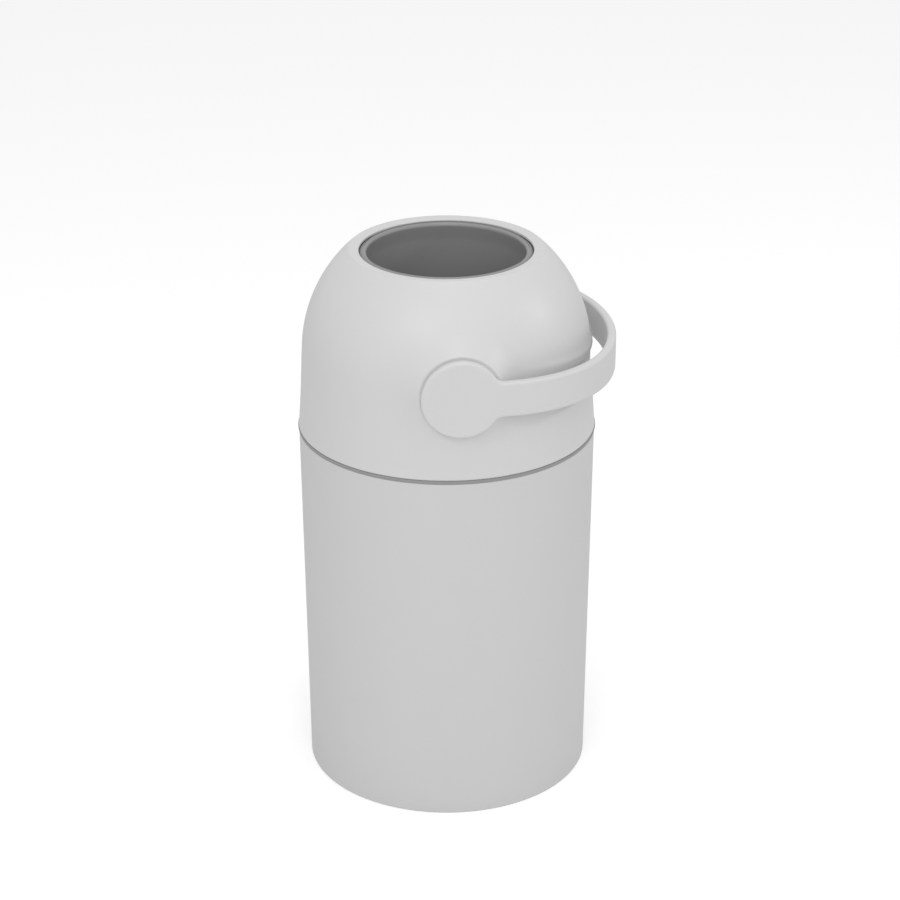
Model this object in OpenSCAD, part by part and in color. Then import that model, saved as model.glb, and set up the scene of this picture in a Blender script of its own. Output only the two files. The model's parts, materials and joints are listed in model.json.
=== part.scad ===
// Nappy bin: a tapered round bin with a lift-off domed hood. A drum with a straight
// chute through it turns half a turn inside the hood, driven by a bail handle, and a
// weighted piston slides down the chute and pushes the nappy into the bin.
// Millimetres. +Z is up, the origin is the centre of the base on the floor, the drum's
// axis lies along Y, and the handle rests towards +X.

/* [Bin] */
// Outer radius of the bin at its rim
bin_top_r = 139.5; // [125:0.5:160]
// How much smaller the bin's outer radius is at its base than at its rim
bin_taper = 3.1; // [1:0.1:15]
// Height of the bin up to its rim
bin_h = 349.5; // [240:0.1:420]
// Wall of the bin
bin_wall = 2.6; // [2:0.1:4]
// Floor of the bin
bin_floor = 3; // [2:0.1:6]
// Radius of the rounded outer edge round the base
base_edge_r = 1; // [0.5:0.1:5]

/* [Seam] */
// Thickness of the bag ring's flange on the bin's rim
ring_flange_h = 2.2; // [1:0.1:3]
// Depth of the bag ring's skirt inside the bin
ring_skirt_h = 15; // [10:1:30]
// Wall of the bag ring's skirt
ring_wall = 2; // [1.5:0.1:3]
// Room for the bag's film between the ring's skirt and the bin, where it is narrowest
bag_gap = 0.4; // [0.3:0.1:1]
// Thickness of the rubber gasket on the bag ring
gasket_h = 1.5; // [1:0.1:3]
// Width of the rubber gasket
gasket_w = 3.6; // [2.5:0.1:4.5]
// How far the ring and the gasket stand out past the bin's rim
seam_proud = 1.3; // [0.5:0.1:2]

/* [Hood] */
// Wall of the hood
hood_wall = 2.6; // [2:0.1:3.5]
// Draft of the hood's skirt, in degrees
skirt_draft = 3.35; // [1:0.05:5]
// Height of the dome's centre above the hood's lower edge
dome_rise = 71.4; // [60:0.1:85]
// How far the skirt's foot stands out past the bin's rim
skirt_out = 0.4; // [0:0.1:1]
// Radius of the round opening in the hood's top
opening_r = 80.8; // [72:0.1:88]
// Width of the sloping land round the opening
land_w = 9.6; // [7:0.1:14]
// How far the land drops towards the opening
land_drop = 1.4; // [0.5:0.1:3]
// Thickness of the hood at the land
land_t = 2.3; // [1.8:0.1:3]
// Number of bands that make up the dome's curve
dome_bands = 14; // [10:1:20]

/* [Finger recess] */
// Depth of the recess in the hood behind the handle
recess_depth = 2; // [1:0.1:8]
// Angle either side of the X axis at which the recess has run out to nothing, in degrees
recess_sweep = 68; // [55:1:72]
// Height of the recess's flat wall
recess_wall_h = 39; // [20:1:42]
// Middle of the recess below the hub axis
recess_below_hub = 15; // [8:0.5:18]
// Height that the recess's sloping upper and lower edges take
recess_slope_h = 9; // [5:0.5:14]
// Gap between the recess's ends and the hub boss
recess_end_gap = 3; // [2:0.5:6]

/* [Hub] */
// Height of the drum's axis above the hood's lower edge
hub_rise = 81.3; // [76:0.1:88]
// Radius of the flat hub boss on the hood
boss_r = 40.5; // [37:0.1:42]
// How far the boss stands out from the hood's wall at the axis
boss_proud = 5.1; // [4:0.1:9]
// Radius gained by the boss's flank for each millimetre of depth
boss_flare = 0.85; // [0.6:0.01:0.9]
// Depth that the boss's flank reaches below the boss's face
boss_depth = 30; // [22:0.5:31]
// Wall of the sleeve that holds the bush
sleeve_wall = 3; // [2:0.1:5]
// Length of the sleeve inwards from the boss's face
sleeve_l = 14.2; // [10:0.1:15]
// Radius of the trunnion shaft
shaft_r = 12; // [9:0.1:14]
// Radial running clearance of the shaft in its bush
shaft_fit = 0.05; // [0.02:0.01:0.1]
// Wall of the bush
bush_wall = 3; // [2:0.1:4]
// Thickness of the bush's flange
bush_flange_t = 1.5; // [1:0.1:2]
// Thickness of the felt seal on the shaft
felt_t = 1.5; // [1:0.1:2]
// Radius of the hollow in the trunnion
shaft_bore_r = 7; // [5:0.1:7.5]
// Thickness of the trunnion's stop flange
stop_t = 2; // [1.5:0.1:2.4]
// Height of the stop lugs above their flange
lug_h = 7; // [5:0.5:9]
// Width of the stop lugs
lug_w = 5; // [3:0.5:7]
// Play between a stop lug and its post at each end of the turn, in degrees
lug_play = 1.5; // [0.5:0.1:3]
// Thickness of the trunnion's solid outer end
shaft_end_wall = 8; // [6:0.5:10]

/* [Drum] */
// Gap between the turning drum and the hood's opening
drum_gap = 0.75; // [0.5:0.05:1.5]
// Wall of the drum
drum_wall = 2.6; // [2:0.1:4]
// Roll radius of the rounded rim round each mouth of the chute
rim_roll_r = 3.1; // [2.5:0.1:4]
// Gap between that rim and the edge of the hood's opening
rim_gap = 0.8; // [0.5:0.1:2]
// Height of the tapered lip inside each mouth, which stops the piston
stop_lip_h = 12; // [6:0.5:16]
// How far that lip draws in from the chute's liner to the mouth
stop_lip_w = 1.6; // [1.4:0.1:3]
// Wall of the chute's liner
liner_wall = 2; // [1.5:0.1:3]
// Length of the collar that holds each end of the liner
liner_collar_h = 14; // [8:1:25]
// Distance of the drum's screw posts from its centre
post_ring_r = 101; // [96:0.5:103]
// Angle of those posts either side of the X axis, in degrees
post_angle = 33; // [28:1:38]
// Gap between the liner's collar and the trunnion's inner end
shaft_set = 14; // [8:0.5:15]
// How far the collar that keys the trunnion in the drum stands out
shaft_collar_w = 5; // [3:0.5:7]
// Thickness of that collar, which is also its distance from the trunnion's inner end
shaft_collar_t = 4; // [3:0.5:5]
// Wall of the drum's block round that collar
shaft_block_wall = 4; // [2.5:0.5:5]

/* [Handle] */
// Height of the handle's arms
arm_h = 33; // [24:0.5:40]
// Thickness of the handle
handle_t = 8.4; // [7:0.1:11]
// Radius of the round ends over the hubs
hub_disc_r = 36.5; // [30:0.1:36.8]
// Rounding of the handle's edges
handle_edge_r = 2.6; // [1:0.1:3.2]
// Concave fillet between arm and round end
arm_fillet_r = 10; // [5:0.5:16]
// Straight length of each arm from the axis
arm_straight = 22.9; // [15:0.1:40]
// Clear space between the hood's wall and the grip
finger_gap = 14.5; // [10:0.1:25]
// Plan radius of the grip's outer face
grip_r = 184; // [175:1:300]
// How far the grip hangs below the level of the hubs, in degrees about them
grip_droop = 1.7; // [0:0.1:4]
// Gap between the hub boss and the handle
handle_gap = 0.7; // [0.4:0.1:1.5]
// How far past the hub boss the handle's inner side is cut back to clear it
relief_reach = 2.5; // [2:0.1:4]
// Depth of the socket that takes the trunnion's end
socket_h = 5; // [3:0.1:5.8]
// Material left over the tip of each handle screw
screw_cover = 1.8; // [1.2:0.1:2.4]

/* [Piston] */
// Length of the piston along the chute
piston_h = 42; // [25:1:60]
// Clearance between the piston and the liner
piston_gap = 0.8; // [0.5:0.1:1.2]
// Wall of the piston
piston_wall = 2.4; // [2:0.1:4]
// Thickness of the piston's cap
piston_cap_t = 3; // [2.4:0.1:5]
// Clearance between the piston's seal and the liner
piston_seal_gap = 0.3; // [0.3:0.05:0.45]
// Height of the piston's seal
piston_seal_h = 6; // [4:0.5:10]
// Depth of the groove that holds the seal
piston_groove = 1.2; // [0.8:0.1:1.6]
// Radius of the iron weight in the piston
weight_r = 48; // [30:1:65]
// Thickness of the iron weight
weight_h = 14; // [6:0.5:18]

/* [Seals and fasteners] */
// Thickness of the seal plate under the drum
plate_t = 2.6; // [2:0.1:4]
// How far the seal plate is set up inside the hood
plate_set = 2.2; // [1.8:0.1:4]
// Gap between the seal plate and the hood's skirt
plate_gap = 1; // [0.6:0.1:2]
// Gap between the drum and the lips of both drum seals
lip_gap = 0.4; // [0.3:0.05:0.8]
// Width of the seat of both drum seals
seal_w = 7; // [5:0.1:8]
// Thickness of the seat of both drum seals
seal_t = 2; // [1.5:0.1:3]
// Thickness of the lip of both drum seals
seal_lip_t = 1.2; // [0.8:0.1:1.6]
// How far the upper seal's seat stands back from the hood's opening
top_seal_set = 1; // [0.5:0.1:3]
// Length of the upper seal's lip below its seat
top_lip_h = 2; // [1:0.1:4]
// How far that lip leans in towards the drum
top_lip_lean = 2; // [1:0.1:3]
// Length of the spigot that centres the hood in the bag ring
spigot_h = 11; // [6:0.5:16]
// Wall of the spigot
spigot_wall = 2; // [1.5:0.1:3]
// Clearance between the spigot and the bag ring
spigot_gap = 0.4; // [0.3:0.1:0.8]
// Number of screws that hold the seal plate
plate_screws_n = 6; // [3:1:8]
// Distance of those screws from the skirt's foot
plate_post_in = 13; // [11:0.5:16]
// Height of the posts that take those screws
plate_post_h = 24; // [18:1:30]
// Radius of the screw posts in the hood and the drum
post_r = 6; // [5:0.5:7]
// Radius of the screw shanks
screw_r = 1.9; // [1.5:0.1:2.2]
// Radius of the screw heads
screw_head_r = 3.8; // [3:0.1:4.2]
// Height of the screw heads
screw_head_h = 2.4; // [1.8:0.1:2.8]
// Length of the screw shanks
screw_l = 14; // [10:0.5:18]
// Room past the tip of each plate screw
screw_tip_room = 1; // [0.5:0.1:3]
// Room round each sunk screw head
screw_head_room = 0.4; // [0.2:0.1:1]

/* [Hidden] */
$fn = 96;

// Longer than the whole object, for cuts that go right through
beyond = 1000;

// Angle that the dome's curve runs on past the land, which cuts it off
dome_run_on = 10;

// Seam and hood
ring_z = bin_h;
gasket_z = ring_z + ring_flange_h;
hood_z = gasket_z + gasket_h;
seam_r = bin_top_r + seam_proud;
bin_base_r = bin_top_r - bin_taper;
ring_outer_r = to_hundredth(bin_r(ring_z - ring_skirt_h) - bin_wall - bag_gap);
ring_inner_r = ring_outer_r - ring_wall;
skirt_foot_r = bin_top_r + skirt_out;
dome_z = hood_z + dome_rise;
dome_r = (skirt_foot_r - dome_rise * tan(skirt_draft)) * cos(skirt_draft);
hub_z = hood_z + hub_rise;
wall_r_at_hub = dome_r * cos(asin((hub_z - dome_z) / dome_r));
land_r = opening_r + land_w;
land_z = dome_z + sqrt(dome_r ^ 2 - land_r ^ 2);
// How far off the bin's axis the recess's wall is centred
recess_shift = recess_depth / (1 - cos(recess_sweep));
dome_top_angle = acos(land_r / dome_r) + dome_run_on;
opening_z = land_z - land_drop;

// Hub
boss_y = wall_r_at_hub + boss_proud;
bush_r = shaft_r + shaft_fit + bush_wall;
sleeve_r = bush_r + sleeve_wall;
seat_gap = 0.3;
bush_flange_r = bush_r + sleeve_wall / 2 - seat_gap;
sleeve_y = boss_y - sleeve_l;
bush_flange_y = sleeve_y - bush_flange_t;
felt_y = bush_flange_y - felt_t;
stop_y = felt_y - seat_gap - stop_t;
lug_r = bush_r + lug_h;
lug_angle = 2 * asin(lug_w / 2 / sleeve_r) + lug_play;

// Drum
drum_r = norm([opening_r, opening_z - land_t - hub_z]) - drum_gap;
mouth_r = opening_r - rim_gap - 2 * rim_roll_r;
rim_mid_r = mouth_r + rim_roll_r;
rim_mid_h = sqrt((drum_r - rim_roll_r) ^ 2 - rim_mid_r ^ 2);
rim_top_h = rim_mid_h + rim_roll_r;
liner_r = mouth_r + stop_lip_w;
liner_outer_r = liner_r + liner_wall;
liner_half_h = rim_mid_h - stop_lip_h;
collar_r = liner_outer_r + drum_wall;
shaft_collar_r = shaft_r + shaft_collar_w;
shaft_block_r = shaft_collar_r + shaft_block_wall;
shaft_in_y = collar_r + shaft_set;
shaft_collar_y = shaft_in_y + shaft_collar_t;
// Depth below the joint of the seats that the drum's screw heads bear on
post_seat = screw_l / 2;

// Handle
handle_in_y = to_hundredth(boss_y + handle_gap);
handle_out_y = handle_in_y + handle_t;
grip_in_x = wall_r_at_hub + finger_gap;
grip_out_x = grip_in_x + handle_t;
grip_run = grip_out_x - arm_straight;
bend_r = to_hundredth(
    (2 * grip_r * grip_run - grip_run ^ 2 - handle_out_y ^ 2) / (2 * (grip_r - handle_out_y))
);
bend_y = handle_out_y - bend_r;
grip_centre_x = grip_out_x - grip_r;
grip_half_angle = atan(bend_y / (arm_straight - grip_centre_x));
// The grip's section is a touch smaller than the bends', and its ends run on into them
grip_inset = 0.1;
grip_overlap = 0.4;
// Share of that gap which the cut-back inner side of the arms keeps from the boss
relief_share = 0.6;
relief_y = boss_y + relief_share * handle_gap;
shaft_end_y = handle_in_y + socket_h;
shaft_floor_y = shaft_end_y - shaft_end_wall;
handle_screw_tip_y = handle_out_y - screw_cover;

// Piston
piston_r = liner_r - piston_gap;
piston_seat_h = liner_half_h + stop_lip_h * (piston_gap - seat_gap) / stop_lip_w;
piston_z = hub_z - piston_seat_h;

// Seals and fasteners
plate_z = hood_z + plate_set;
plate_outer_r = skirt_foot_r - hood_wall - plate_gap;
plate_post_r = skirt_foot_r - plate_post_in;
plate_seal_z = plate_z + plate_t;
plate_post_mid_h = plate_set + plate_t + plate_post_h / 2;
plate_web_r = skirt_foot_r - hood_wall / 2 - plate_post_mid_h * tan(skirt_draft);
lower_seal_r = seal_tip_r(hub_z - plate_seal_z - seal_t);
top_seal_z = opening_z - land_t - seat_gap;
spigot_outer_r = ring_inner_r - spigot_gap;

// Radius of the drum seals' lip where it meets the drum at a height h from the axis
function seal_tip_r(h) = sqrt((drum_r + lip_gap) ^ 2 - h ^ 2);

// A length rounded to a hundredth of a millimetre
function to_hundredth(x) = round(x * 100) / 100;

// Outer radius of the bin at height z
function bin_r(z) = bin_base_r + bin_taper * z / bin_h;

// Repeats its children on both sides: at -Y as drawn, and mirrored at +Y
module both_sides() {
    children();
    mirror([0, 1, 0]) children();
}

// Lays its children's +Z along -Y, with their z = 0 on the bin's axis at hub height
module on_hub_axis() {
    translate([0, 0, hub_z]) rotate([90, 0, 0]) children();
}

// A rounded bar section, w wide and h high, centred on h, with its back on x = 0
module bar_section(w, h, edge) {
    translate([0, edge - h / 2]) square([w, h - 2 * edge]);
    translate([edge, -h / 2]) square([w - 2 * edge, h]);
    for (x = [edge, w - edge], y = [edge - h / 2, h / 2 - edge])
        translate([x, y]) circle(r = edge, $fn = 32);
}

/* ---- Bin ---- */

// Half section of the bin's outer form, drawn in by inset and raised by lift
module bin_section(inset, lift) {
    polygon([
        [0, lift],
        [bin_r(lift) - inset, lift],
        [bin_top_r - inset, bin_h],
        [0, bin_h]
    ]);
}

module bin_body() {
    color("gainsboro") rotate_extrude() difference() {
        bin_section(0, 0);
        bin_section(bin_wall, bin_floor);
        translate([bin_base_r - base_edge_r, 0]) difference() {
            square(base_edge_r);
            translate([0, base_edge_r]) circle(r = base_edge_r);
        }
    }
}

module bag_ring() {
    color("darkgray") rotate_extrude() {
        translate([ring_inner_r, ring_z]) square([seam_r - ring_inner_r, ring_flange_h]);
        translate([ring_inner_r, ring_z - ring_skirt_h]) square([ring_wall, ring_skirt_h]);
    }
}

module rim_gasket() {
    color("dimgray") translate([0, 0, gasket_z]) rotate_extrude()
        translate([seam_r - gasket_w, 0]) square([gasket_w, gasket_h]);
}

/* ---- Hood ---- */

// Half section of the hood's outer form, drawn in by inset: a skirt that runs on into the
// dome, whose curve is a chain of short straight bands
module hood_form(inset) {
    r = dome_r - inset;
    polygon(concat(
        [[0, hood_z], [skirt_foot_r - inset / cos(skirt_draft), hood_z]],
        [for (i = [0 : dome_bands])
            let (a = skirt_draft + (dome_top_angle - skirt_draft) * i / dome_bands)
            [r * cos(a), dome_z + r * sin(a)]],
        [[0, dome_z + r * sin(dome_top_angle)]]
    ));
}

// Everything below the land round the opening, lowered by drop
module below_land(drop) {
    slope = land_drop / land_w;
    polygon([
        [0, opening_z - drop - slope * opening_r],
        [beyond, opening_z - drop + slope * (beyond - opening_r)],
        [beyond, 0],
        [0, 0]
    ]);
}

// The hub boss with its flared flank, drawn in by inset, along +Z from the bin's axis
module boss_form(inset) {
    top_r = boss_r + boss_flare * inset - inset * norm([1, boss_flare]);
    rise = boss_depth - inset;
    translate([0, 0, boss_y - boss_depth])
        cylinder(h = rise, r1 = top_r + boss_flare * rise, r2 = top_r);
}

// The finger recess, grown by wall
module recess_form(wall) {
    wall_x = wall_r_at_hub - recess_depth + recess_shift - wall;
    half = recess_wall_h / 2;
    edge = half + recess_slope_h;
    difference() {
        translate([-recess_shift, 0, hub_z - recess_below_hub]) rotate_extrude() polygon([
            [wall_x, -half],
            [wall_x + recess_slope_h + wall, -edge - wall],
            [beyond, -edge - wall],
            [beyond, edge + wall],
            [wall_x + recess_slope_h + wall, edge + wall],
            [wall_x, half]
        ]);
        both_sides() on_hub_axis() cylinder(h = beyond, r = boss_r + recess_end_gap - wall);
    }
}

// The hood's form inside the skin that lies inset below its surface, open at the foot
module hood_body_form(inset, drop) {
    difference() {
        union() {
            rotate_extrude() intersection() {
                hood_form(inset);
                below_land(drop);
            }
            both_sides() on_hub_axis() boss_form(inset);
        }
        recess_form(inset);
    }
}

// One post for a seal plate screw, joined to the hood's skirt
module plate_post() {
    translate([plate_post_r, 0, plate_z + plate_t]) {
        cylinder(h = plate_post_h, r = post_r);
        translate([0, -post_r / 2, 0])
            cube([plate_web_r - plate_post_r, post_r, plate_post_h]);
    }
}

module hood_shell() {
    color("whitesmoke") difference() {
        union() {
            difference() {
                hood_body_form(0, 0);
                hood_body_form(hood_wall, land_t);
                cylinder(h = beyond, r = opening_r);
            }
            both_sides() on_hub_axis() {
                translate([0, 0, sleeve_y]) cylinder(h = boss_y - sleeve_y, r = sleeve_r);
                translate([-lug_w / 2, -lug_r, stop_y])
                    cube([lug_w, lug_r - bush_r - sleeve_wall / 2, boss_y - stop_y - hood_wall / 2]);
            }
            for (i = [0 : plate_screws_n - 1])
                rotate([0, 0, (i + 0.5) * 360 / plate_screws_n]) plate_post();
        }
        both_sides() on_hub_axis() cylinder(h = boss_y, r = bush_r);
        both_sides() on_hub_axis() cylinder(h = beyond, r = shaft_r + shaft_fit);
        for (i = [0 : plate_screws_n - 1]) rotate([0, 0, (i + 0.5) * 360 / plate_screws_n])
            translate([plate_post_r, 0, plate_z]) cylinder(h = screw_l + screw_tip_room, r = screw_r);
    }
}

module seal_plate() {
    color("silver") difference() {
        rotate_extrude() {
            translate([lower_seal_r + seal_lip_t, plate_z])
                square([plate_outer_r - lower_seal_r - seal_lip_t, plate_t]);
            translate([spigot_outer_r - spigot_wall, plate_z - spigot_h])
                square([spigot_wall, spigot_h]);
        }
        for (i = [0 : plate_screws_n - 1]) rotate([0, 0, (i + 0.5) * 360 / plate_screws_n])
            translate([plate_post_r, 0, 0]) cylinder(h = beyond, r = screw_r);
    }
}

// A pan-head screw along +Z, with its head below z = 0
module screw(length) {
    translate([0, 0, -screw_head_h]) cylinder(h = screw_head_h, r = screw_head_r);
    cylinder(h = length, r = screw_r);
}

module plate_screws() {
    color("lightsteelblue") for (i = [0 : plate_screws_n - 1])
        rotate([0, 0, (i + 0.5) * 360 / plate_screws_n])
            translate([plate_post_r, 0, plate_z]) screw(screw_l);
}

module top_seal() {
    h = top_seal_z - hub_z;
    seat_h = h - seal_t;
    tip_h = seat_h - top_lip_h;
    seat_r = opening_r + top_seal_set;
    root_r = seat_r + top_lip_lean;
    color("dimgray") translate([0, 0, hub_z]) rotate_extrude() polygon([
        [seat_r, h],
        [seat_r + seal_w, h],
        [seat_r + seal_w, seat_h],
        [root_r + seal_lip_t, seat_h],
        [seal_tip_r(tip_h) + seal_lip_t, tip_h],
        [seal_tip_r(tip_h), tip_h],
        [seal_tip_r(seat_h), seat_h]
    ]);
}

module lower_seal() {
    h = plate_seal_z - hub_z;
    color("dimgray") translate([0, 0, hub_z]) rotate_extrude() polygon([
        [lower_seal_r + seal_lip_t, h],
        [lower_seal_r + seal_lip_t + seal_w, h],
        [lower_seal_r + seal_lip_t + seal_w, h + seal_t],
        [lower_seal_r, h + seal_t],
        [seal_tip_r(h), h]
    ]);
}

module hub_bushes() {
    color("ivory") both_sides() on_hub_axis() difference() {
        union() {
            translate([0, 0, bush_flange_y]) cylinder(h = bush_flange_t, r = bush_flange_r);
            translate([0, 0, sleeve_y]) cylinder(h = boss_y - sleeve_y, r = bush_r);
        }
        cylinder(h = beyond, r = shaft_r + shaft_fit);
    }
}

module hub_felts() {
    color("darkslategray") both_sides() on_hub_axis() translate([0, 0, felt_y]) difference() {
        cylinder(h = felt_t, r = bush_r);
        cylinder(h = felt_t, r = shaft_r + seat_gap);
    }
}

/* ---- Drum ---- */

// The upper half of the drum about its own centre
module drum_half() {
    difference() {
        union() {
            difference() {
                sphere(r = drum_r);
                sphere(r = drum_r - drum_wall);
                cylinder(h = beyond, r = rim_mid_r);
            }
            rotate_extrude() {
                translate([rim_mid_r, rim_mid_h]) circle(r = rim_roll_r);
                polygon([
                    [liner_r, liner_half_h],
                    [mouth_r, rim_mid_h],
                    [mouth_r + 2 * rim_roll_r, rim_mid_h],
                    [mouth_r + 2 * rim_roll_r, liner_half_h]
                ]);
                translate([liner_outer_r, liner_half_h - liner_collar_h])
                    square([drum_wall, liner_collar_h + stop_lip_h]);
            }
            intersection() {
                sphere(r = drum_r);
                both_sides() rotate([90, 0, 0]) translate([0, 0, shaft_in_y])
                    cylinder(h = beyond, r = shaft_block_r);
            }
            intersection() {
                sphere(r = drum_r - drum_wall / 2);
                drum_posts() cylinder(h = beyond, r = post_r);
            }
        }
        cylinder(h = liner_half_h, r = liner_outer_r);
        both_sides() rotate([90, 0, 0]) {
            cylinder(h = beyond, r = shaft_r);
            translate([0, 0, shaft_collar_y]) cylinder(h = shaft_collar_t, r = shaft_collar_r);
        }
        drum_posts() cylinder(h = screw_l, r = screw_r);
        translate([0, 0, -beyond]) cylinder(h = beyond, r = beyond);
    }
}

// Repeats its children at the four screw posts of the drum
module drum_posts() {
    for (side = [0, 180], turn = [-post_angle, post_angle])
        rotate([0, 0, side + turn]) translate([post_ring_r, 0, 0]) children();
}

module drum_upper() {
    color("gray") translate([0, 0, hub_z]) drum_half();
}

module drum_lower() {
    color("gray") translate([0, 0, hub_z]) difference() {
        rotate([180, 0, 0]) drum_half();
        drum_posts() translate([0, 0, -post_seat - beyond])
            cylinder(h = beyond, r = screw_head_r + screw_head_room);
        drum_posts() translate([0, 0, -post_seat]) cylinder(h = beyond, r = screw_r);
    }
}

module drum_screws() {
    color("lightsteelblue") translate([0, 0, hub_z - post_seat]) drum_posts() screw(screw_l);
}

module chute_liner() {
    color("gray") translate([0, 0, hub_z - liner_half_h]) difference() {
        cylinder(h = 2 * liner_half_h, r = liner_outer_r);
        cylinder(h = 2 * liner_half_h, r = liner_r);
    }
}

module trunnions() {
    color("silver") both_sides() on_hub_axis() difference() {
        union() {
            translate([0, 0, shaft_in_y]) cylinder(h = shaft_end_y - shaft_in_y, r = shaft_r);
            translate([0, 0, shaft_collar_y]) cylinder(h = shaft_collar_t, r = shaft_collar_r);
            translate([0, 0, stop_y]) cylinder(h = stop_t, r = bush_r);
            for (side = [-1, 1]) rotate([0, 0, side * (90 - lug_angle)])
                translate([0, -lug_w / 2, stop_y]) cube([lug_r, lug_w, stop_t]);
        }
        translate([0, 0, shaft_in_y]) cylinder(h = shaft_floor_y - shaft_in_y, r = shaft_bore_r);
        cylinder(h = beyond, r = screw_r);
    }
}

/* ---- Handle ---- */

// One round end with its arm up to the bend, along +Z from the bin's axis
module handle_end() {
    translate([0, 0, handle_in_y]) {
        rotate_extrude() intersection() {
            translate([0, handle_t / 2]) rotate([0, 0, 90]) translate([-handle_t / 2, 0])
                bar_section(handle_t, 2 * hub_disc_r, handle_edge_r);
            square(beyond);
        }
        linear_extrude(handle_t) for (side = [-1, 1]) scale([1, side]) arm_fillet();
    }
    rotate([0, 90, 0]) rotate([0, 0, 180]) linear_extrude(arm_straight)
        translate([handle_in_y, 0]) bar_section(handle_t, arm_h, handle_edge_r);
}

// The concave corner between the round end and the upper side of the arm
module arm_fillet() {
    foot_y = arm_h / 2 - handle_edge_r;
    centre_y = arm_h / 2 + arm_fillet_r;
    centre_x = sqrt((hub_disc_r + arm_fillet_r) ^ 2 - centre_y ^ 2);
    difference() {
        polygon([[0, foot_y], [centre_x, foot_y], [centre_x, centre_y], [0, centre_y]]);
        translate([centre_x, centre_y]) circle(r = arm_fillet_r);
        difference() {
            translate([0, foot_y]) square([centre_x, centre_y - foot_y]);
            polygon([[0, 0], [centre_x, 0], [centre_x, centre_y]]);
        }
    }
}

// The handle's bar bent round an arc of outer radius r, from +X through the angle turn, with
// its section drawn in by inset
module arc_bar(r, turn, inset) {
    rotate_extrude(angle = turn, $fn = 180) translate([r - handle_t + inset, 0])
        bar_section(handle_t - 2 * inset, arm_h - 2 * inset, handle_edge_r - inset);
}

// The handle at level about the hubs, without its sockets and reliefs
module level_handle() {
    both_sides() {
        rotate([90, 0, 0]) handle_end();
        translate([arm_straight, -bend_y, 0]) rotate([0, 0, -90])
            arc_bar(bend_r, 90 - grip_half_angle, 0);
    }
    translate([grip_centre_x, 0, 0]) rotate([0, 0, -grip_half_angle - grip_overlap])
        arc_bar(grip_r, 2 * (grip_half_angle + grip_overlap), grip_inset);
}

module handle() {
    color("whitesmoke") difference() {
        translate([0, 0, hub_z]) rotate([0, grip_droop, 0]) level_handle();
        both_sides() on_hub_axis() {
            cylinder(h = relief_y, r = boss_r + relief_reach);
            cylinder(h = shaft_end_y, r = shaft_r);
            cylinder(h = handle_screw_tip_y, r = screw_r);
        }
    }
}

module handle_screws() {
    color("lightsteelblue") both_sides() on_hub_axis() translate([0, 0, shaft_floor_y])
        screw(handle_screw_tip_y - shaft_floor_y);
}

/* ---- Piston ---- */

module piston_body() {
    color("gray") translate([0, 0, piston_z]) difference() {
        cylinder(h = piston_h, r = piston_r);
        translate([0, 0, piston_wall]) cylinder(h = piston_h, r = piston_r - 2 * piston_wall);
        translate([0, 0, piston_h - piston_cap_t])
            cylinder(h = piston_cap_t, r = piston_r - piston_wall);
        translate([0, 0, (piston_h - piston_seal_h) / 2]) difference() {
            cylinder(h = piston_seal_h, r = beyond);
            cylinder(h = piston_seal_h, r = piston_r - piston_groove);
        }
    }
}

module piston_cap() {
    color("gray") translate([0, 0, piston_z + piston_h - piston_cap_t])
        cylinder(h = piston_cap_t, r = piston_r - piston_wall);
}

module piston_weight() {
    color("slategray") translate([0, 0, piston_z + piston_wall]) cylinder(h = weight_h, r = weight_r);
}

module piston_seal() {
    color("dimgray") translate([0, 0, piston_z + (piston_h - piston_seal_h) / 2]) difference() {
        cylinder(h = piston_seal_h, r = liner_r - piston_seal_gap);
        cylinder(h = piston_seal_h, r = piston_r - piston_groove);
    }
}

bin_body();
bag_ring();
rim_gasket();
hood_shell();
seal_plate();
plate_screws();
top_seal();
lower_seal();
hub_bushes();
hub_felts();
drum_upper();
drum_lower();
drum_screws();
chute_liner();
trunnions();
handle();
handle_screws();
piston_body();
piston_cap();
piston_weight();
piston_seal();
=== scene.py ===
import json
import math

import bmesh
import bpy
import numpy as np
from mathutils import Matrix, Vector


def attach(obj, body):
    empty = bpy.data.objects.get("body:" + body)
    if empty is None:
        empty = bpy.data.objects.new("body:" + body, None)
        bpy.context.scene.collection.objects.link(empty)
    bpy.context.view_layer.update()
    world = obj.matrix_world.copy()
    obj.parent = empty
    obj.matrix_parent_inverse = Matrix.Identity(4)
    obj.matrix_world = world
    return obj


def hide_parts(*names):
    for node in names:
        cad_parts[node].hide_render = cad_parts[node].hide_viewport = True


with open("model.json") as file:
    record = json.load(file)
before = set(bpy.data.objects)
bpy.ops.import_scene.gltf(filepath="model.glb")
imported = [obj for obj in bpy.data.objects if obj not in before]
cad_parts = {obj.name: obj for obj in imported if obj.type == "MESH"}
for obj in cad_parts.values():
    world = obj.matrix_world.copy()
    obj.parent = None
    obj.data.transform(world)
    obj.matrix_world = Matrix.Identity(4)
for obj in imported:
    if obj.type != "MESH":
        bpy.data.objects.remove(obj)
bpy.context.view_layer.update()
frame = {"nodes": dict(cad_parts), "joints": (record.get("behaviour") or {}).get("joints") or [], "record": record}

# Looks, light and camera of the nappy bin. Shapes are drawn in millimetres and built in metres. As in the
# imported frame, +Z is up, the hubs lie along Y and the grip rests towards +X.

MM = 0.001

# ---------------------------------------------------------------- sizes, in millimetres

# Height of the hinge on which the drum and the handle turn
HUB_Z = frame["joints"][1]["pos_m"][2] / MM

# A size whose name ends in EDGE is how far inside its two faces the centre of a corner's arc lies. All
# those arcs have the radius ARC_R, so an arc stands out from its faces where its edge is smaller.
ARC_R = 1.0

# Bin
BIN_TOP_R, BIN_BASE_R, BIN_H = 139.4, 136.35, 349.5
BIN_WALL, BIN_FLOOR = 2.6, 3.0
BASE_EDGE, FLOOR_EDGE, RIM_EDGE, RIM_IN_EDGE = 1.0, 3.0, 0.6, 0.4

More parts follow.
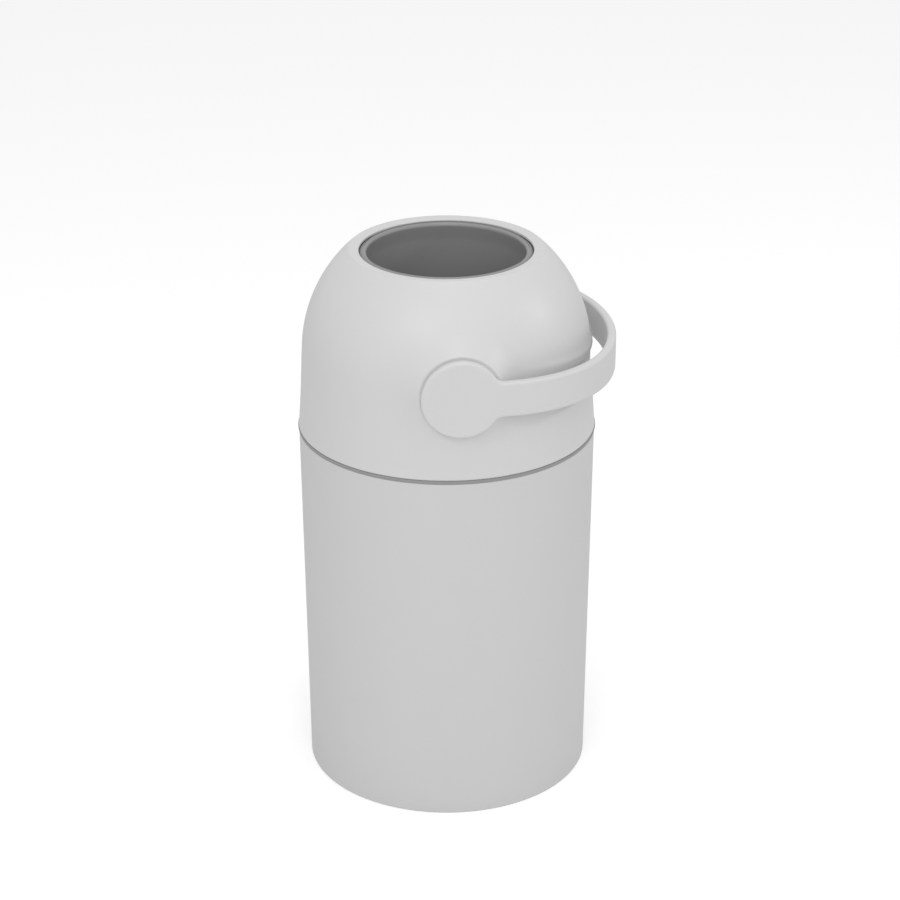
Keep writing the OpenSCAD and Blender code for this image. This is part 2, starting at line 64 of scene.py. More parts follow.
# Seam: the bag ring with its band, and the gasket on it
SEAM_R = 139.95
RING_IN_R, RING_OUT_R = 134.37, 136.37
RING_TOP_Z, RING_LOW_Z = 351.7, 334.5
RING_TOP_EDGE, RING_LOW_EDGE, BAND_LOW_EDGE, BAND_TOP_EDGE = 0.5, 0.6, 0.5, 0.2
GASKET_TOP_Z, GASKET_W, GASKET_BULGE = 353.2, 3.6, 0.35

# Hood
HOOD_Z, HOOD_WALL = 353.2, 2.6
SKIRT_FOOT_R, SKIRT_DRAFT, SKIRT_DIP = 139.9, math.radians(3.35), 0.35
FOOT_EDGE, FOOT_CHAMFER, FOOT_H = 0.7, 0.4, 4
DOME_Z, DOME_R = 424.6, 135.489
LAND_R, LAND_Z, LAND_T, LAND_EDGE = 90.4, 525.521, 2.3, 1.2
OPENING_R, OPENING_Z, OPENING_EDGE, OPENING_STEP = 80.8, 524.121, 1.0, 0.4
THINNING_RUN = 30
BOSS_Y, BOSS_R, BOSS_RUN, BOSS_LEAN, BOSS_BLEND = 140.226, 38.5, 27.0, 10.0, 0.8
BUSH_R, SLEEVE_R, SLEEVE_Y, SLEEVE_EDGE, SLEEVE_IN_EDGE = 15.05, 18.05, 126.026, 0.6, 0.4
LUG_W, LUG_R, LUG_Y, LUG_SINK = 5.0, 22.05, 120.726, 1.0
POST_R, POST_AT_R, POST_Z, POST_TOP_Z, POSTS = 6.0, 126.9, 358.0, 382.0, 6

# Finger recess behind the handle, under a brow that stands out from the dome. Its run is measured in
# shares of the way from the X axis to its ends, and it fades out a little past them.
RECESS_SWEEP, SHARE_END = math.radians(68), 1.3
RECESS_R, RECESS_DIP, RECESS_RISE, RECESS_BLEND = 135.2, 6.1, 8.2, 1.0
RECESS_LOW_Z, LOW_DIP, LOW_AT, LOW_REACH = 400.0, 4.0, 0.91, 0.13
LOW_RISE, LOW_SLOPE, LOW_BLEND = 130.0, 1.6, 1.5
BROW_Z, BROW_RISE, BROW_POWER, BROW_EDGE_H = 429.0, 15.0, 1.3, 3.0
CREST_OUT, CREST_AT, CREST_H = 1.4, 6.0, 4.5

# Handle
HANDLE_OUT_Y, HANDLE_T, HANDLE_EDGE_R, HANDLE_RIM = 149.33, 8.4, 2.6, 0.4
DISC_R, ARM_HALF, ARM_FILLET_R = 36.5, 16.5, 10.0
BEND_X, GRIP_R, GRIP_OUT_X = 22.9, 184.0, 158.0
GRIP_DROOP, TURN_LENGTH = math.radians(1.7), 60.0
RELIEF_R, RELIEF_Y, RELIEF_OPEN = 43.5, 140.65, 5
SOCKET_R, SOCKET_H, SCREW_R, SCREW_H = 12.0, 5.0, 1.9, 6.6

# Chute
LINER_R, LINER_OUT_R, LINER_HALF, LINER_MID_H = 75.4, 77.4, 73.6, 40
MOUTH_R, MOUTH_H, MOUTH_RUN, MOUTH_T, MOUTH_FOOT_T = 73.75, 85.4, 3, 0.5, 0.6

# How finely the meshes are drawn
COLUMNS, PATCH_COLUMNS, PATCH_Z = 240, 18, (369, 492)
SKIRT_ROWS_Z, RECESS_ROWS_Z, DOME_ROWS_Z = range(361, 389, 4), np.arange(391, 456, 0.8), range(458, 493, 2)
DOME_ROWS_ANGLE = np.radians(np.arange(32, 48, 2))
BOSS_RINGS = (-14.5, -8.5, -4, -2.1, -1.3, -0.8, -0.4, -0.1, 0.2, 0.5, 0.9, 1.5, 2.5, 4, 6.1, 9.1, 13)
PATCH_STEPS = (0.2, 0.45, 0.72)
EDGE_STEPS, LINER_COLUMNS, SLEEVE_COLUMNS, SOCKET_COLUMNS, POST_COLUMNS = 6, 180, 96, 64, 32
BULGE_STEPS, MOUTH_STEPS, DISC_STEPS, FILLET_STEPS, ARM_STEPS = 9, 12, 34, 10, 54
HOOD_EDGE_STEPS, SHARP_ANGLE = 5, math.radians(40)
WELD, TINY = 1e-7, 1e-6


# ---------------------------------------------------------------- mesh helpers


def mesh_data(parts):
    """A mesh under edit, in metres, from parts of (points in mm, faces). Its normals face outwards."""
    bm = bmesh.new()
    for points, faces in parts:
        verts = [bm.verts.new(Vector(p) * MM) for p in points]
        for face in faces:
            bm.faces.new([verts[i] for i in face])
    bmesh.ops.remove_doubles(bm, verts=bm.verts, dist=WELD)
    bmesh.ops.dissolve_degenerate(bm, edges=bm.edges, dist=WELD)
    bmesh.ops.delete(bm, geom=[v for v in bm.verts if not v.link_faces], context="VERTS")
    bmesh.ops.recalc_face_normals(bm, faces=bm.faces)
    return bm


def placed(name, bm):
    """An object in the scene with the given mesh."""
    mesh = bpy.data.meshes.new(name)
    bm.to_mesh(mesh)
    bm.free()
    obj = bpy.data.objects.new(name, mesh)
    bpy.context.scene.collection.objects.link(obj)
    return obj


def piece(name, parts, body, material, node):
    """One smooth mesh in place of a CAD node, from parts of (points in mm, faces)."""
    bm = mesh_data(parts)
    for face in bm.faces:
        face.smooth = True
    obj = placed(name, bm)
    obj.data.set_sharp_from_angle(angle=SHARP_ANGLE)
    obj.data.materials.append(material)
    obj.modifiers.new("normals", "WEIGHTED_NORMAL").keep_sharp = True
    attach(obj, body)
    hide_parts(node)
    return obj


def rounded(corners, steps=EDGE_STEPS):
    """Points along a polygon of (x, y, edge) corners. A corner whose edge isn't 0 has an arc, which turns
    about the point that lies that far inside both sides."""
    points = []
    for i, (x, y, edge) in enumerate(corners):
        corner = Vector((x, y))
        if not edge:
            points.append((x, y))
            continue
        back = (Vector(corners[i - 1][:2]) - corner).normalized()
        ahead = (Vector(corners[(i + 1) % len(corners)][:2]) - corner).normalized()
        half = back.angle(ahead) / 2
        centre = corner + (back + ahead).normalized() * edge / math.sin(half)
        reach = edge / math.tan(half)
        first, last = corner + back * reach - centre, corner + ahead * reach - centre
        # slerp gives directions of length 1
        points += [tuple(centre + first.slerp(last, k / steps) * ARC_R) for k in range(steps + 1)]
    return points


def lathe(profile, steps=COLUMNS):
    """A closed profile of (radius, height) turned round the Z axis."""
    turn = np.arange(steps) * math.tau / steps
    points = [(r * math.cos(a), r * math.sin(a), z) for a in turn for r, z in profile]
    n = len(profile)
    faces = [
        (i * n + j, (i + 1) % steps * n + j, (i + 1) % steps * n + (j + 1) % n, i * n + (j + 1) % n)
        for i in range(steps)
        for j in range(n)
    ]
    return points, faces


def on_hub(part, side):
    """A part drawn along +Z from the bin's axis, laid along the hub's axis on one side."""
    points, faces = part
    return [(x, side * z, HUB_Z - side * y) for x, y, z in points], faces


def prism(outline, low, high):
    """A flat outline of (x, y) drawn up from one height to another."""
    n = len(outline)
    points = [(x, y, z) for z in (low, high) for x, y in outline]
    bottom, top = list(range(n)), list(range(n, 2 * n))
    return points, [tuple(bottom), tuple(top), *strip(bottom, top)]


def strip(first, second):
    """Quads between two closed loops of vertex numbers."""
    n = len(first)
    return [(first[i], first[(i + 1) % n], second[(i + 1) % n], second[i]) for i in range(n)]


def soft_min(a, b, blend):
    """The smaller of two values, with a smooth change-over where they differ by less than blend."""
    h = np.maximum(blend - np.abs(a - b), 0) / blend
    return np.minimum(a, b) - h * h * blend / 4


def soft_max(a, b, blend):
    """The larger of two values, with a smooth change-over where they differ by less than blend."""
    return -soft_min(-a, -b, blend)


# ---------------------------------------------------------------- materials

GRAIN_DEPTH_M = 0.0002
BRUSHED_STRETCH = 14


def combine(tree, operation, first, second):
    """The result of a maths node on a socket and a second socket or number."""
    node = tree.nodes.new("ShaderNodeMath")
    node.operation = operation
    tree.links.new(first, node.inputs[0])
    if isinstance(second, float):
        node.inputs[1].default_value = second
    else:
        tree.links.new(second, node.inputs[1])
    return node.outputs["Value"]


def shader(
    name, colour, roughness, metallic=0.0, mottle=0.006, grain=0.1, grain_size=0.5, wear=0.06, brushed=False
):
    """A procedural finish: a mottled colour, uneven roughness with faint scuffs, and a fine bump."""
    mat = bpy.data.materials.new(name)
    mat.use_nodes = True
    tree = mat.node_tree
    nodes, links = tree.nodes, tree.links
    surface = nodes["Principled BSDF"]
    surface.inputs["Metallic"].default_value = metallic

    place = nodes.new("ShaderNodeTexCoord")
    stretch = nodes.new("ShaderNodeMapping")
    stretch.inputs["Scale"].default_value = (1, 1, BRUSHED_STRETCH if brushed else 1)
    links.new(place.outputs["Object"], stretch.inputs["Vector"])

    def noise(scale, detail, rough=0.5, distortion=0.0):
        node = nodes.new("ShaderNodeTexNoise")
        node.inputs["Scale"].default_value = scale
        node.inputs["Detail"].default_value = detail
        node.inputs["Roughness"].default_value = rough
        node.inputs["Distortion"].default_value = distortion
        links.new(stretch.outputs["Vector"], node.inputs["Vector"])
        return node.outputs["Fac"]

    def spread(value, low, high, start=0.3, end=0.7):
        node = nodes.new("ShaderNodeMapRange")
        node.inputs["From Min"].default_value = start
        node.inputs["From Max"].default_value = end
        node.inputs["To Min"].default_value = low
        node.inputs["To Max"].default_value = high
        links.new(value, node.inputs["Value"])
        return node.outputs["Result"]

    tint = nodes.new("ShaderNodeHueSaturation")
    tint.inputs["Color"].default_value = (*colour, 1)
    clouds = spread(noise(scale=22, detail=4, rough=0.6), 1 - mottle, 1 + mottle)
    specks = spread(noise(scale=700, detail=2), -mottle, mottle)
    links.new(combine(tree, "ADD", clouds, specks), tint.inputs["Value"])
    links.new(tint.outputs["Color"], surface.inputs["Base Color"])

    uneven = spread(noise(scale=60, detail=5, rough=0.65), roughness - wear / 2, roughness + wear / 2)
    scuffs = spread(noise(scale=90, detail=6, distortion=2.5), 0, wear, start=0.62, end=0.7)
    links.new(combine(tree, "ADD", uneven, scuffs), surface.inputs["Roughness"])

    bump = nodes.new("ShaderNodeBump")
    bump.inputs["Strength"].default_value = grain
    bump.inputs["Distance"].default_value = GRAIN_DEPTH_M
    links.new(noise(scale=1 / (grain_size * MM), detail=3, rough=0.55), bump.inputs["Height"])
    links.new(bump.outputs["Normal"], surface.inputs["Normal"])
    return mat


bin_white = shader("bin_white", (0.60, 0.60, 0.60), 0.48)
hood_white = shader("hood_white", (0.63, 0.63, 0.63), 0.42)
ring_grey = shader("ring_grey", (0.28, 0.28, 0.28), 0.5)
drum_grey = shader("drum_grey", (0.27, 0.27, 0.27), 0.42)
gasket_rubber = shader("gasket_rubber", (0.2, 0.2, 0.2), 0.6, mottle=0.03)
FINISHES = {
    "bin_white": bin_white,
    "hood_white": hood_white,
    "ring_grey": ring_grey,
    "drum_grey": drum_grey,
    "piston_grey": shader("piston_grey", (0.2, 0.2, 0.2), 0.5),
    "trunnion_grey": shader("trunnion_grey", (0.16, 0.16, 0.16), 0.55, mottle=0.04),
    "bush_acetal": shader("bush_acetal", (0.68, 0.66, 0.58), 0.38),
    "seal_rubber": shader("seal_rubber", (0.07, 0.07, 0.07), 0.7, mottle=0.05, wear=0.12),
    "felt": shader("felt_fibre", (0.05, 0.05, 0.055), 0.95, mottle=0.2, grain=0.8, grain_size=0.3),
    "screw_steel": shader("screw_steel", (0.55, 0.55, 0.57), 0.32, metallic=1, brushed=True),
    "weight_iron": shader(
        "weight_iron", (0.12, 0.12, 0.13), 0.6, metallic=0.7, mottle=0.08, grain=0.6, grain_size=1.5
    ),
}
for part in frame["record"]["subparts"]:
    slots = frame["nodes"][part["node"]].data.materials
    slots.clear()
    slots.append(FINISHES[part["material_slot"]])


# ---------------------------------------------------------------- bin, bag ring and gasket

taper = (BIN_TOP_R - BIN_BASE_R) / BIN_H
inner_base_r = BIN_BASE_R + taper * BIN_FLOOR - BIN_WALL
bin_profile = rounded([
    (0, 0, 0),
    (BIN_BASE_R, 0, BASE_EDGE),
    (BIN_TOP_R, BIN_H, RIM_EDGE),
    (BIN_TOP_R - BIN_WALL, BIN_H, RIM_IN_EDGE),
    (inner_base_r, BIN_FLOOR, FLOOR_EDGE),
    (0, BIN_FLOOR, 0),
])
piece("bin_shell", [lathe(bin_profile)], "bin", bin_white, "bin_body")

ring_profile = rounded([
    (RING_IN_R, RING_TOP_Z, RING_TOP_EDGE),
    (RING_IN_R, RING_LOW_Z, RING_LOW_EDGE),
    (RING_OUT_R, RING_LOW_Z, RING_LOW_EDGE),
    (RING_OUT_R, BIN_H, 0),
    (SEAM_R, BIN_H, BAND_LOW_EDGE),
    (SEAM_R, RING_TOP_Z, BAND_TOP_EDGE),
])
piece("bag_clamp_ring", [lathe(ring_profile)], "bin", ring_grey, "bag_ring")

gasket_in_r, gasket_out_r = SEAM_R - GASKET_W, SEAM_R - GASKET_BULGE
gasket_mid_z, gasket_half = (RING_TOP_Z + GASKET_TOP_Z) / 2, (GASKET_TOP_Z - RING_TOP_Z) / 2
gasket_profile = [(gasket_in_r, GASKET_TOP_Z), (gasket_in_r, RING_TOP_Z)]
for a in np.linspace(-math.pi / 2, math.pi / 2, BULGE_STEPS):
    bulge_r, bulge_z = gasket_out_r + GASKET_BULGE * math.cos(a), gasket_mid_z + gasket_half * math.sin(a)
    gasket_profile.append((bulge_r, bulge_z))
piece("seam_gasket", [lathe(gasket_profile)], "bin", gasket_rubber, "rim_gasket")


# ---------------------------------------------------------------- chute's lining

mouth_foot_h = LINER_HALF - MOUTH_RUN
upper_lining = [(LINER_R, h) for h in (0, LINER_MID_H, mouth_foot_h)]
for k in range(1, MOUTH_STEPS + 1):
    t = k / MOUTH_STEPS
    narrow = (MOUTH_R - LINER_R) * t * t * (2 - t)
    upper_lining.append((LINER_R + narrow, mouth_foot_h + (MOUTH_H - mouth_foot_h) * t))
upper_lining += [
    (MOUTH_R + MOUTH_T, MOUTH_H),
    (LINER_R + MOUTH_FOOT_T, LINER_HALF),
    (LINER_OUT_R, LINER_HALF),
]
lower_lining = [(r, -h) for r, h in reversed(upper_lining[1:])]
lining_profile = [(r, HUB_Z + h) for r, h in lower_lining + upper_lining]
lining = lathe(lining_profile, steps=LINER_COLUMNS)
piece("chute_lining", [lining], "drum", drum_grey, "chute_liner")


# ---------------------------------------------------------------- hood


def plain_r(z):
    """Outer radius of the hood at height z, without bosses and recess."""
    low = SKIRT_FOOT_R - (z - HOOD_Z) * math.tan(SKIRT_DRAFT)
    dip = SKIRT_DIP * math.sin(math.pi * min(max((z - HOOD_Z) / (DOME_Z - HOOD_Z), 0), 1))
    joint_z = DOME_Z + DOME_R * math.sin(SKIRT_DRAFT)
    return low - dip if z < joint_z else math.sqrt(DOME_R**2 - (z - DOME_Z) ** 2)


plain_rs = np.vectorize(plain_r)


def underside_z(r):
    """Height of the land's underside at radius r."""
    return OPENING_Z - LAND_T + (LAND_Z - OPENING_Z) * (r - OPENING_R) / (LAND_R - OPENING_R)


def inner_row(r, z):
    """The point inside the wall that belongs to a point of the outer profile."""
    if r < LAND_R:
        return r, underside_z(r)
    if z < HUB_Z:
        return min(r, plain_r(z)) - HOOD_WALL, z
    share = min(max((r - LAND_R) / THINNING_RUN, 0), 1)
    inner_r = r - HOOD_WALL * share * r / DOME_R
    return inner_r, min(DOME_Z + math.sqrt((DOME_R - HOOD_WALL) ** 2 - inner_r**2), underside_z(inner_r))


def recessed(azimuth, r, z, skin):
    """The plain radius r with the finger recess cut into it below its brow. The skin is how far inside the
    hood's outer face the points lie."""
    turned = (azimuth + math.pi) % math.tau - math.pi
    share = np.minimum(np.abs(turned) / RECESS_SWEEP, SHARE_END)
    wall = RECESS_R - RECESS_DIP * share + RECESS_RISE * share**2 - skin
    low_z = RECESS_LOW_Z - LOW_DIP * np.exp(-(((share - LOW_AT) / LOW_REACH) ** 2)) - skin / 2
    low_z = low_z + LOW_RISE * np.maximum(share - LOW_AT, 0) ** 2
    cut = soft_min(r, wall + LOW_SLOPE * soft_max(low_z - z, 0, LOW_BLEND), RECESS_BLEND)
    brow_z = BROW_Z + BROW_RISE * share**BROW_POWER + skin / 2
    crest = np.clip(1 - share**3, 0, 1) * np.exp(-(((z - brow_z - CREST_AT) / CREST_H) ** 2))
    brow = r + CREST_OUT * crest
    up = np.clip((z - brow_z) / BROW_EDGE_H, 0, 1)
    return cut + (brow - cut) * up * up * (3 - 2 * up)


def boss_y(x, z, wall_y, skin):
    """How far out the hood stands round a hub, where its wall alone stands at wall_y: a flat round face,
    and a flank that runs out into the wall."""
    rho = np.maximum(np.hypot(x, z - HUB_Z), TINY)
    across, up = x / rho, (z - HUB_Z) / rho
    edge_y = np.sqrt((plain_rs(HUB_Z + BOSS_R * up) - skin) ** 2 - (BOSS_R * across) ** 2)
    share = np.minimum((rho - BOSS_R) / (BOSS_RUN - BOSS_LEAN * across), 1)
    flank = wall_y + (BOSS_Y - skin - edge_y) * (1 - share) ** 2
    return soft_min(BOSS_Y - skin, flank, BOSS_BLEND)


def hood_points(azimuth, r, z, skin):
    """Places of points given on the plain profile, once the recess and the bosses are formed."""
    dented = recessed(azimuth, r, z, skin)
    x, wall_y = dented * np.cos(azimuth), np.abs(dented * np.sin(azimuth))
    near = np.hypot(x, z - HUB_Z) < BOSS_R + BOSS_RUN + BOSS_LEAN
    out = wall_y.copy()
    out[near] = boss_y(x[near], z[near], wall_y[near], skin)
    return np.stack([x, np.copysign(out, np.sin(azimuth)), z], 1)


foot_rows = rounded([
    (SKIRT_FOOT_R - HOOD_WALL + FOOT_CHAMFER, HOOD_Z, 0),
    (SKIRT_FOOT_R, HOOD_Z, FOOT_EDGE),
    (plain_r(HOOD_Z + FOOT_H), HOOD_Z + FOOT_H, 0),
], steps=HOOD_EDGE_STEPS)
cap_rows_z = DOME_Z + DOME_R * np.sin(DOME_ROWS_ANGLE)
wall_rows = [(plain_r(z), z) for z in [*SKIRT_ROWS_Z, *RECESS_ROWS_Z, *DOME_ROWS_Z, *cap_rows_z]]
land_rows = rounded([
    (*wall_rows[-1], 0),
    (LAND_R, LAND_Z, LAND_EDGE),
    (OPENING_R, OPENING_Z, OPENING_EDGE),
    (OPENING_R, underside_z(OPENING_R) + OPENING_STEP, 0),
], steps=HOOD_EDGE_STEPS)[1:]
hood_rows = foot_rows + wall_rows + land_rows
hub_rings = [BUSH_R] + [BOSS_R + ring for ring in BOSS_RINGS]


def grid_point(row, column):
    """Number of a point of the hood's grid."""
    return row * COLUMNS + column % COLUMNS


def hood_skin(rows, skin):
    """One face of the hood: a grid of rows by columns, with rings of points round each hub.
    Gives its points, its faces, and the loops of its foot, its opening and its hub holes."""
    row_r, row_z = np.array(rows).T
    count = len(rows)
    turn = np.arange(COLUMNS) * math.tau / COLUMNS
    azimuth = np.tile(turn, count)
    r, z = np.repeat(row_r, COLUMNS), np.repeat(row_z, COLUMNS)
    low, high = (min(range(count), key=lambda j: abs(hood_rows[j][1] - h)) for h in PATCH_Z)
    hubs = [COLUMNS // 4, COLUMNS * 3 // 4]
    patched = {(hub + i) % COLUMNS for hub in hubs for i in range(-PATCH_COLUMNS, PATCH_COLUMNS)}
    faces = [
        (grid_point(j, i), grid_point(j, i + 1), grid_point(j + 1, i + 1), grid_point(j + 1, i))
        for j in range(count - 1)
        for i in range(COLUMNS)
        if not (low <= j < high and i in patched)
    ]
    holes = []
    for hub, side in zip(hubs, (1, -1)):
        left, right = hub - PATCH_COLUMNS, hub + PATCH_COLUMNS
        rim = [(low, i) for i in range(left, right)] + [(j, right) for j in range(low, high)]
        rim += [(high, i) for i in range(right, left, -1)] + [(j, left) for j in range(high, low, -1)]
        outer = [grid_point(j, i) for j, i in rim]
        across, up = r[outer] * np.cos(azimuth[outer]), z[outer] - HUB_Z
        reach, around = np.hypot(across, up), np.arctan2(up, across)
        radii = [np.full(len(rim), ring) for ring in hub_rings]
        radii += [hub_rings[-1] + (reach - hub_rings[-1]) * t for t in PATCH_STEPS]
        loops = []
        for radius in radii:
            at_z = HUB_Z + radius * np.sin(around)
            at_r = np.interp(at_z, row_z[low - 1 : high + 2], row_r[low - 1 : high + 2])
            loops.append(list(range(len(r), len(r) + len(rim))))
            r, z = np.append(r, at_r), np.append(z, at_z)
            azimuth = np.append(azimuth, side * np.arccos(radius * np.cos(around) / at_r))
        loops.append(outer)
        for first, second in zip(loops, loops[1:]):
            faces += strip(first, second)
        holes.append(loops[0])
    foot = list(range(COLUMNS))
    top = [grid_point(count - 1, i) for i in foot]
    return hood_points(azimuth, r, z, skin), faces, [foot, top, *holes]


def hood_shell():
    """The hood's two faces, joined at the foot, the opening and the hub holes."""
    outer_points, outer_faces, outer_loops = hood_skin(hood_rows, 0)
    inner_points, inner_faces, inner_loops = hood_skin([inner_row(r, z) for r, z in hood_rows], HOOD_WALL)
    shift = len(outer_points)
    faces = outer_faces + [tuple(i + shift for i in face) for face in inner_faces]
    for outer_loop, inner_loop in zip(outer_loops, inner_loops):
        faces += strip(outer_loop, [i + shift for i in inner_loop])
    return np.concatenate([outer_points, inner_points]), faces


sleeve_end_y = BOSS_Y - HOOD_WALL / 2
sleeve = lathe(rounded([
    (BUSH_R, SLEEVE_Y, SLEEVE_IN_EDGE),
    (SLEEVE_R, SLEEVE_Y, SLEEVE_EDGE),
    (SLEEVE_R, sleeve_end_y, 0),
    (BUSH_R, sleeve_end_y, 0),
]), steps=SLEEVE_COLUMNS)
lug_half, lug_foot_r = LUG_W / 2, SLEEVE_R - LUG_SINK
lug_outline = [(-lug_half, -LUG_R), (lug_half, -LUG_R), (lug_half, -lug_foot_r), (-lug_half, -lug_foot_r)]
lug = prism(lug_outline, LUG_Y, sleeve_end_y)
hood_parts = [hood_shell()] + [on_hub(part, side) for part in (sleeve, lug) for side in (-1, 1)]
post_turn = np.linspace(0, math.tau, POST_COLUMNS, False)
for k in range(POSTS):
    turn = (k + 0.5) * math.tau / POSTS
    at_x, at_y = POST_AT_R * math.cos(turn), POST_AT_R * math.sin(turn)
    post_outline = [(at_x + POST_R * math.cos(a), at_y + POST_R * math.sin(a)) for a in post_turn]
    hood_parts.append(prism(post_outline, POST_Z, POST_TOP_Z))
piece("hood_moulding", hood_parts, "hood", hood_white, "hood_shell")


# ---------------------------------------------------------------- handle

# The path along the handle's outer face: straight by the hub, round the bend, then along the grip
GRIP_RUN = GRIP_OUT_X - BEND_X
BEND_R = (2 * GRIP_R * GRIP_RUN - GRIP_RUN**2 - HANDLE_OUT_Y**2) / (2 * (GRIP_R - HANDLE_OUT_Y))
BEND_Y = HANDLE_OUT_Y - BEND_R
GRIP_CENTRE_X = GRIP_OUT_X - GRIP_R
GRIP_HALF_ANGLE = math.atan(BEND_Y / (BEND_X - GRIP_CENTRE_X))
BEND_LENGTH = BEND_R * (math.pi / 2 - GRIP_HALF_ANGLE)
PATH_LENGTH = BEND_X + BEND_LENGTH + GRIP_R * GRIP_HALF_ANGLE


def handle_outline():
    """Upper edge of the handle in the flat, from the tip of the round end to the middle of the grip:
    points of (length along the path, height, outward normal)."""
    fillet_h = ARM_HALF + ARM_FILLET_R
    fillet_u = math.sqrt((DISC_R + ARM_FILLET_R) ** 2 - fillet_h**2)
    meet = math.atan2(fillet_h, fillet_u)
    outline = []
    for a in np.linspace(math.pi, meet, DISC_STEPS):
        outline.append((DISC_R * math.cos(a), DISC_R * math.sin(a), math.cos(a), math.sin(a)))
    for a in np.linspace(meet + math.pi, math.pi * 1.5, FILLET_STEPS)[1:]:
        u, h = fillet_u + ARM_FILLET_R * math.cos(a), fillet_h + ARM_FILLET_R * math.sin(a)
        outline.append((u, h, -math.cos(a), -math.sin(a)))
    for u in np.linspace(fillet_u, PATH_LENGTH, ARM_STEPS)[1:]:
        outline.append((u, ARM_HALF, 0, 1))
    return outline


def handle_point(u, h, depth):
    """Place of a point that lies u along the handle's outer face, h above its middle and depth behind it.
    The round end is turned about the hub to where the grip hangs, and the grip's face stays upright."""
    if u < BEND_X:
        x, y = u, HANDLE_OUT_Y - depth
    elif u < BEND_X + BEND_LENGTH:
        a = (u - BEND_X) / BEND_R
        x, y = BEND_X + (BEND_R - depth) * math.sin(a), BEND_Y + (BEND_R - depth) * math.cos(a)
    else:
        a = (PATH_LENGTH - u) / GRIP_R
        x, y = GRIP_CENTRE_X + (GRIP_R - depth) * math.cos(a), (GRIP_R - depth) * math.sin(a)
    across, down = math.cos(GRIP_DROOP), math.sin(GRIP_DROOP)
    upright = min(max(u / TURN_LENGTH, 0), 1)
    return x * across + h * down * (1 - upright), y, HUB_Z + h * across - x * down


def handle_solid():
    """The whole handle, without its reliefs and sockets, as loops of its section joined end to end."""
    section = [(HANDLE_EDGE_R + HANDLE_RIM, 0)]
    for a in (math.pi / 2 * k / EDGE_STEPS for k in range(EDGE_STEPS + 1)):
        section.append((HANDLE_EDGE_R * (1 - math.sin(a)), HANDLE_EDGE_R * (1 - math.cos(a))))
    section += [(inset, HANDLE_T - depth) for inset, depth in reversed(section)]
    far = []
    for u, h, nu, nh in handle_outline():
        upper = [(u - inset * nu, h - inset * nh, depth) for inset, depth in section]
        lower = [(pu, -ph, depth) for pu, ph, depth in reversed(upper)]
        far.append([handle_point(*p) for p in upper + lower])
    near = [[(x, -y, z) for x, y, z in loop] for loop in far]
    loops = near + far[-2::-1]
    width = len(loops[0])
    faces = []
    for start in range(0, (len(loops) - 1) * width, width):
        faces += strip(list(range(start, start + width)), list(range(start + width, start + 2 * width)))
    return [p for loop in loops for p in loop], faces


handle = piece("bail_handle", [handle_solid()], "drum", hood_white, "handle")

# Reliefs that clear the bosses, and sockets for the trunnions' ends and the screws
inner_y = HANDLE_OUT_Y - HANDLE_T
cavity = lathe([
    (0, inner_y - RELIEF_OPEN),
    (RELIEF_R, inner_y - RELIEF_OPEN),
    (RELIEF_R, RELIEF_Y),
    (SOCKET_R, RELIEF_Y),
    (SOCKET_R, inner_y + SOCKET_H),
    (SCREW_R, inner_y + SOCKET_H),
    (SCREW_R, inner_y + SCREW_H),
    (0, inner_y + SCREW_H),
], steps=SOCKET_COLUMNS)
cutter = placed("socket_cutter", mesh_data([on_hub(cavity, side) for side in (-1, 1)]))
boolean = handle.modifiers.new("sockets", "BOOLEAN")
boolean.operation, boolean.solver, boolean.object = "DIFFERENCE", "EXACT", cutter
bpy.context.view_layer.update()
evaluated = handle.evaluated_get(bpy.context.evaluated_depsgraph_get())
cut_mesh = bpy.data.meshes.new_from_object(evaluated)
handle.modifiers.clear()
handle.data = cut_mesh
bpy.data.objects.remove(cutter)


# ---------------------------------------------------------------- floor, world, lights and camera, in metres

FLOOR_HALF, FLOOR_COLOUR, FLOOR_LIFT = 10.0, 0.9, 0.28
AMBIENT, BACKDROP = 0.663, 1.0
CAMERA_AZIMUTH, CAMERA_ELEVATION, CAMERA_ROLL = -5.3, 25.641, -0.0021
CAMERA_DISTANCE, CAMERA_HEIGHT = 2.46901, 0.25
LENS_MM, SENSOR_MM, SHIFT_X, SHIFT_Y = 102.17, 36.0, 0.00345, 0.07441
LAMP_HEIGHT = 0.4
# name: azimuth from the camera's side, elevation, distance, width and strength in watts
LAMPS = {
    "front": (0, 30, 2.4, 1.4, 12.4),
    "front_left": (-29, 41, 2.4, 0.5, 4.4),
    "side_right": (90, 24, 2.4, 0.5, 4.9),
    "top": (0, 88, 2.4, 1.0, 7.4),
}


def aim(obj, azimuth, elevation, distance, height):
    """Puts obj at a direction from a point on the bin's axis and turns it to look there."""
    a, e = math.radians(azimuth), math.radians(elevation)
    back = Vector((math.sin(a) * math.cos(e), -math.cos(a) * math.cos(e), math.sin(e)))
    obj.location = back * distance + Vector((0, 0, height))
    obj.rotation_euler = back.to_track_quat("Z", "Y").to_euler()
    bpy.context.scene.collection.objects.link(obj)


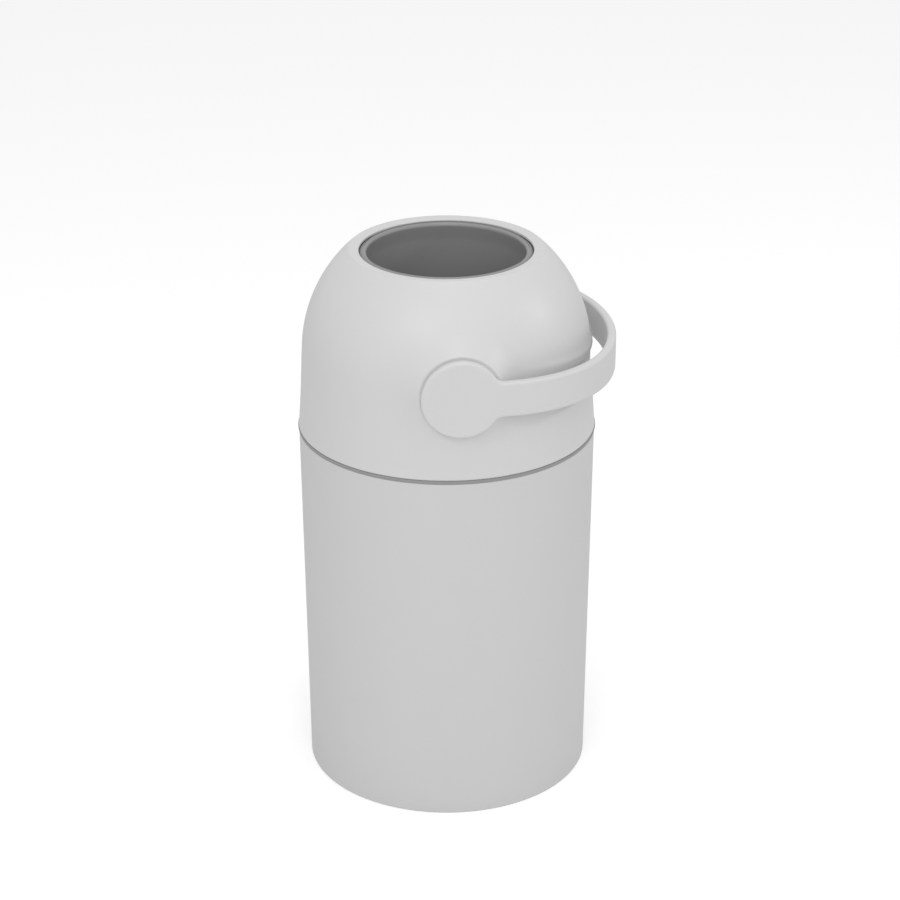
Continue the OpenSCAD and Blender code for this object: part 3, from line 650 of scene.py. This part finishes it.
def floor_paint():
    """A plain pale paint that the camera sees lifted to white where no shadow falls."""
    paint = bpy.data.materials.new("floor_paint")
    paint.use_nodes = True
    tree = paint.node_tree
    nodes, links = tree.nodes, tree.links
    nodes.clear()
    diffuse = nodes.new("ShaderNodeBsdfDiffuse")
    diffuse.inputs["Color"].default_value = (FLOOR_COLOUR, FLOOR_COLOUR, FLOOR_COLOUR, 1)
    path = nodes.new("ShaderNodeLightPath")
    lift = nodes.new("ShaderNodeEmission")
    links.new(combine(tree, "MULTIPLY", path.outputs["Is Camera Ray"], FLOOR_LIFT), lift.inputs["Strength"])
    both = nodes.new("ShaderNodeAddShader")
    links.new(diffuse.outputs["BSDF"], both.inputs[0])
    links.new(lift.outputs["Emission"], both.inputs[1])
    output = nodes.new("ShaderNodeOutputMaterial")
    links.new(both.outputs["Shader"], output.inputs["Surface"])
    return paint


floor_mesh = bpy.data.meshes.new("floor")
floor_corners = [(x * FLOOR_HALF, y * FLOOR_HALF, 0) for x, y in ((-1, -1), (1, -1), (1, 1), (-1, 1))]
floor_mesh.from_pydata(floor_corners, [], [(0, 1, 2, 3)])
floor_mesh.materials.append(floor_paint())
floor = bpy.data.objects.new("floor", floor_mesh)
bpy.context.scene.collection.objects.link(floor)

# The world lights the bin at the ambient level, and shows as a white backdrop, also in reflections
world = bpy.data.worlds.new("studio")
bpy.context.scene.world = world
world.use_nodes = True
sky = world.node_tree
background = sky.nodes["Background"]
background.inputs["Color"].default_value = (1, 1, 1, 1)
path = sky.nodes.new("ShaderNodeLightPath")
seen = path.outputs["Is Camera Ray"]
for kind in ("Is Glossy Ray", "Is Transmission Ray"):
    seen = combine(sky, "MAXIMUM", seen, path.outputs[kind])
level = sky.nodes.new("ShaderNodeMapRange")
level.inputs["To Min"].default_value = AMBIENT
level.inputs["To Max"].default_value = BACKDROP
sky.links.new(seen, level.inputs["Value"])
sky.links.new(level.outputs["Result"], background.inputs["Strength"])

for name, (azimuth, elevation, distance, width, watts) in LAMPS.items():
    lamp = bpy.data.lights.new(name, "AREA")
    lamp.shape, lamp.size, lamp.energy = "DISK", width, watts
    aim(bpy.data.objects.new(name, lamp), azimuth + CAMERA_AZIMUTH, elevation, distance, LAMP_HEIGHT)

camera_data = bpy.data.cameras.new("camera")
camera_data.lens, camera_data.sensor_width = LENS_MM, SENSOR_MM
camera_data.shift_x, camera_data.shift_y = SHIFT_X, SHIFT_Y
camera = bpy.data.objects.new("camera", camera_data)
aim(camera, CAMERA_AZIMUTH, CAMERA_ELEVATION, CAMERA_DISTANCE, CAMERA_HEIGHT)
camera.rotation_euler.rotate_axis("Z", CAMERA_ROLL)
bpy.context.scene.camera = camera
bpy.context.scene.view_settings.view_transform = "Standard"
